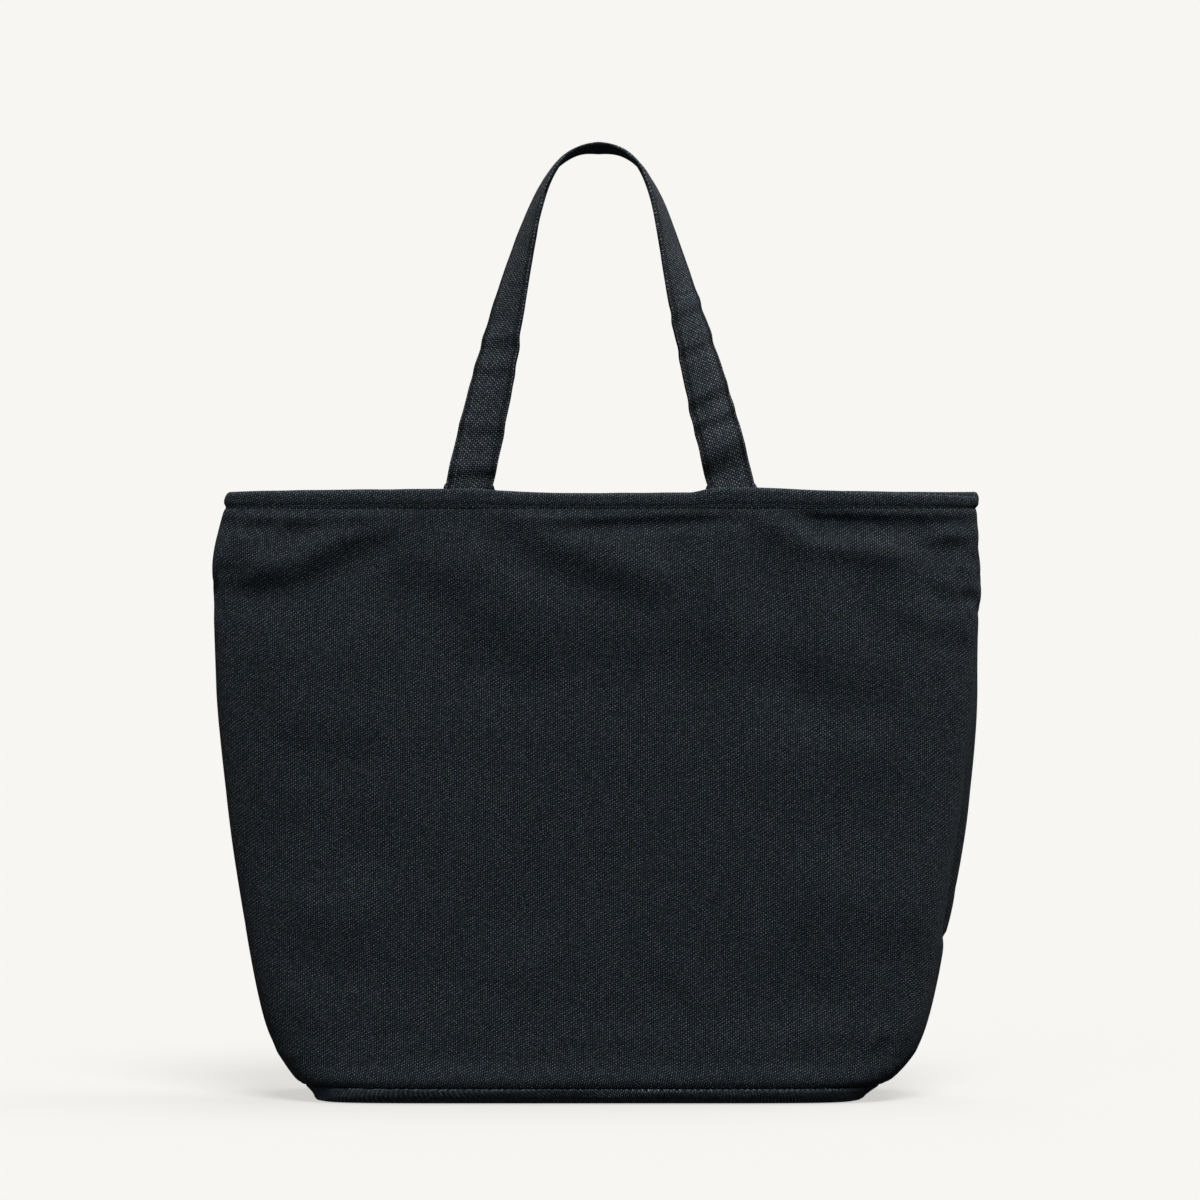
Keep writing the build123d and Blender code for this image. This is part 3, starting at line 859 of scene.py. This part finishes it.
def twill_tape(name, colour):
    """Tape woven with fine diagonal ribs, with painted shade between them."""
    n = Nodes(name)
    cloth = n.add("ShaderNodeUVMap", uv_map="cloth").outputs[0]
    split = n.add("ShaderNodeSeparateXYZ", {0: cloth})
    diagonal = n.math("ADD", split.outputs[0], n.math("MULTIPLY", split.outputs[1], 1.4))
    rib = n.math("ABSOLUTE", n.math("SINE", n.math("DIVIDE", diagonal, 0.36 * MM)))
    fibres = n.noise(cloth, 1800.0, 2.0, 0.7)
    # Painted shade: the colour is darker between the ribs.
    shade = n.math("ADD", 0.55, n.math("MULTIPLY", rib, 0.45))
    shade = n.vary(shade, 0.8, fibres, 0.4)
    n.link(n.tint(colour, shade), "Base Color")
    relief_node = n.add("ShaderNodeBump", {"Height": rib, "Distance": 0.12 * MM, "Strength": 1.0})
    n.link(relief_node.outputs[0], "Normal")
    n.shader.inputs["Roughness"].default_value = 0.88
    n.shader.inputs["Specular IOR Level"].default_value = 0.18
    return n.material


def sewing_thread(name, colour):
    """Twisted cotton thread, with painted shade where it enters its needle holes."""
    n = Nodes(name)
    place = n.add("ShaderNodeTexCoord").outputs["Object"]
    fibres = n.noise(place, 2200.0, 2.0, 0.7)
    hole_shade = n.add("ShaderNodeAttribute", attribute_name="wear_and_shade").outputs["Fac"]
    lit = n.math("SUBTRACT", 1.0, n.math("MULTIPLY", n.math("POWER", hole_shade, 1.6), 0.92))
    shade = n.vary(lit, 0.75, fibres, 0.5)
    n.link(n.tint(colour, shade), "Base Color")
    n.shader.inputs["Roughness"].default_value = 0.7
    n.shader.inputs["Specular IOR Level"].default_value = 0.2
    return n.material


CLOTH = (0.0117, 0.0160, 0.0198)  # a deep blue grey
MATERIALS = {
    "canvas": canvas("canvas", CLOTH),
    # Painted light: the hem is the body's canvas, made 1.12 times as light.
    "hem_canvas": canvas("hem_canvas", tuple(1.12 * c for c in CLOTH)),
    # Painted light: the base is the body's canvas, made 1.9 times as light against the shade it sits in
    # under the body.
    "base_canvas": canvas("base_canvas", tuple(1.9 * c for c in CLOTH)),
    "strap_canvas": canvas("strap_canvas", (0.0254, 0.0315, 0.0376), 1.4 * MM, 1.2 * MM, 0.4 * MM),
    "binding": twill_tape("binding", (0.012, 0.014, 0.017)),
    "thread": sewing_thread("thread", (0.007, 0.016, 0.018)),
}


# ---- put the bag together ------------------------------------------------
def clothe(obj, slot, *nodes):
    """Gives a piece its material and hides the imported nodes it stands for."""
    obj.data.materials.append(MATERIALS[slot])
    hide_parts(*nodes)
    return obj


def bends_with_mouth(obj):
    """Bakes the piece's place into its points."""
    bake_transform(obj)


front_flat, back_flat = (panel_grid(facing, SIM_ROWS, SIM_COLUMNS) for facing in (FRONT, BACK))
settled = sagged(front_flat, back_flat)
front_cloth, front_grid = make_panel("front_cloth", settled[0], FRONT)
back_cloth, _ = make_panel("back_cloth", settled[1], BACK)
feet = (HANDLE_LINE[0][0] * MM, HANDLE_LINE[-1][0] * MM)
halves = ((front_cloth, "front", FRONT, "front"), (back_cloth, "back", BACK, "bag"))
for cloth, face_name, facing, body in halves:
    bends_with_mouth(clothe(cloth, "canvas", f"{face_name}_panel"))
    hem, hem_stitches = make_hem(f"{face_name}_top_hem", facing)
    bends_with_mouth(clothe(hem, "hem_canvas", f"{face_name}_hem"))
    bends_with_mouth(clothe(hem_stitches, "thread", f"{face_name}_hem_thread"))
    for foot_x, side_name in zip(feet, ("left", "right")):
        foot, cross = make_strap_foot(f"{face_name}_strap_foot_{side_name}", facing, foot_x)
        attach(clothe(foot, "strap_canvas", f"{face_name}_strap_end_{side_name}"), body)
        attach(clothe(cross, "thread", f"{face_name}_strap_end_thread"), body)

for side, side_name, column in ((LEFT, "left", 0), (RIGHT, "right", -1)):
    seam = front_grid[:, column]
    inside = seam[(seam[:, 2] > 19 * MM) & (seam[:, 2] < HEM_Z)]
    binding, rows = make_side_binding(f"{side_name}_seam_tape", inside, side)
    bends_with_mouth(clothe(binding, "binding", f"{side_name}_side_binding"))
    bends_with_mouth(clothe(rows, "thread", f"{side_name}_side_thread"))

base = make_base("base_cloth")
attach(clothe(base, "base_canvas", "base_panel"), "bag")
tape, rows = make_base_binding("base_seam_tape")
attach(clothe(tape, "binding", "base_seam_binding"), "bag")
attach(clothe(rows, "thread", "base_seam_thread"), "bag")

strap, rows = make_strap("front_strap", *strap_stations(FRONT, 0.0), BUCKLES, 61)
for obj, slot, node in ((strap, "strap_canvas", "front_handle"), (rows, "thread", "front_handle_thread")):
    clothe(obj, slot, node)
    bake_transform(obj)
strap, rows = make_strap("back_strap", *hung_over_hem(*strap_stations(BACK, 0.4)), [], 71)
for obj, slot, node in ((strap, "strap_canvas", "back_handle"), (rows, "thread", "back_handle_thread")):
    clothe(obj, slot, node)
    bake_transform(obj)


# ---- studio --------------------------------------------------------------
def add_floor():
    """A pale floor, wide enough to meet the background unseen. It casts no light on the bag, and about two
    thirds of its brightness is its own emission, so that shadows on it stay pale."""
    count, radius = 96, 40.0
    turn = [2 * math.pi * k / count for k in range(count)]
    points = [(radius * math.cos(t), radius * math.sin(t), -0.3 * MM) for t in turn]
    mesh = bpy.data.meshes.new("floor")
    mesh.from_pydata(points, [], [tuple(range(count))])
    floor = bpy.data.objects.new("floor", mesh)
    bpy.context.scene.collection.objects.link(floor)
    n = Nodes("floor")
    n.shader.inputs["Base Color"].default_value = (0.14, 0.14, 0.14, 1)
    n.shader.inputs["Roughness"].default_value = 1.0
    n.shader.inputs["Specular IOR Level"].default_value = 0.0
    n.shader.inputs["Emission Color"].default_value = (0.596, 0.588, 0.570, 1)
    n.shader.inputs["Emission Strength"].default_value = 1.0
    mesh.materials.append(n.material)
    floor.visible_diffuse = False
    floor.visible_glossy = False


def add_sun(name, elevation, azimuth, strength, angle, colour=(1, 1, 1)):
    """A soft distant light. Azimuth 0 is in front of the bag, and 90 is on its right."""
    light = bpy.data.lights.new(name, "SUN")
    light.energy, light.angle, light.color = strength, math.radians(angle), colour
    obj = bpy.data.objects.new(name, light)
    e, a = math.radians(elevation), math.radians(azimuth)
    obj.rotation_mode = "QUATERNION"
    towards = Vector((math.sin(a) * math.cos(e), -math.cos(a) * math.cos(e), math.sin(e)))
    obj.rotation_quaternion = towards.to_track_quat("Z", "Y")
    bpy.context.scene.collection.objects.link(obj)


def add_world():
    """Light from all round that is brighter from above, with an even white seen behind the bag."""
    world = bpy.data.worlds.new("studio")
    world.use_nodes = True
    tree = world.node_tree
    shown = tree.nodes["Background"]
    shown.inputs["Color"].default_value = (0.930, 0.921, 0.897, 1)
    direction = tree.nodes.new("ShaderNodeTexCoord")
    split = tree.nodes.new("ShaderNodeSeparateXYZ")
    tree.links.new(direction.outputs["Generated"], split.inputs[0])
    fall = tree.nodes.new("ShaderNodeMapRange")
    fall.interpolation_type = "SMOOTHSTEP"
    for key, value in (("From Min", -0.5), ("From Max", 0.9), ("To Min", 0.07), ("To Max", 0.34)):
        fall.inputs[key].default_value = value
    tree.links.new(split.outputs[2], fall.inputs["Value"])
    lighting = tree.nodes.new("ShaderNodeBackground")
    tree.links.new(fall.outputs[0], lighting.inputs["Strength"])
    path = tree.nodes.new("ShaderNodeLightPath")
    mix = tree.nodes.new("ShaderNodeMixShader")
    tree.links.new(path.outputs["Is Camera Ray"], mix.inputs[0])
    tree.links.new(lighting.outputs[0], mix.inputs[1])
    tree.links.new(shown.outputs[0], mix.inputs[2])
    tree.links.new(mix.outputs[0], tree.nodes["World Output"].inputs["Surface"])
    bpy.context.scene.world = world


def add_camera():
    data = bpy.data.cameras.new("camera")
    data.sensor_width, data.lens = 36.0, 134.0
    data.clip_end = 200.0
    camera = bpy.data.objects.new("camera", data)
    camera.location = (0.0013, -2.83, 0.3135)
    camera.rotation_euler = (math.radians(90), 0, 0)
    bpy.context.scene.collection.objects.link(camera)
    bpy.context.scene.camera = camera


add_floor()
add_world()
add_sun("key_light", elevation=61, azimuth=14, strength=4.5, angle=26, colour=(1.0, 0.985, 0.96))
add_sun("fill_light", elevation=22, azimuth=-30, strength=0.30, angle=60, colour=(0.97, 0.985, 1.0))
add_sun("side_light", elevation=60, azimuth=100, strength=1.5, angle=22, colour=(1.0, 0.99, 0.97))
add_sun("top_light", elevation=77, azimuth=170, strength=1.5, angle=24)
add_camera()
bpy.context.scene.view_settings.view_transform = "Standard"
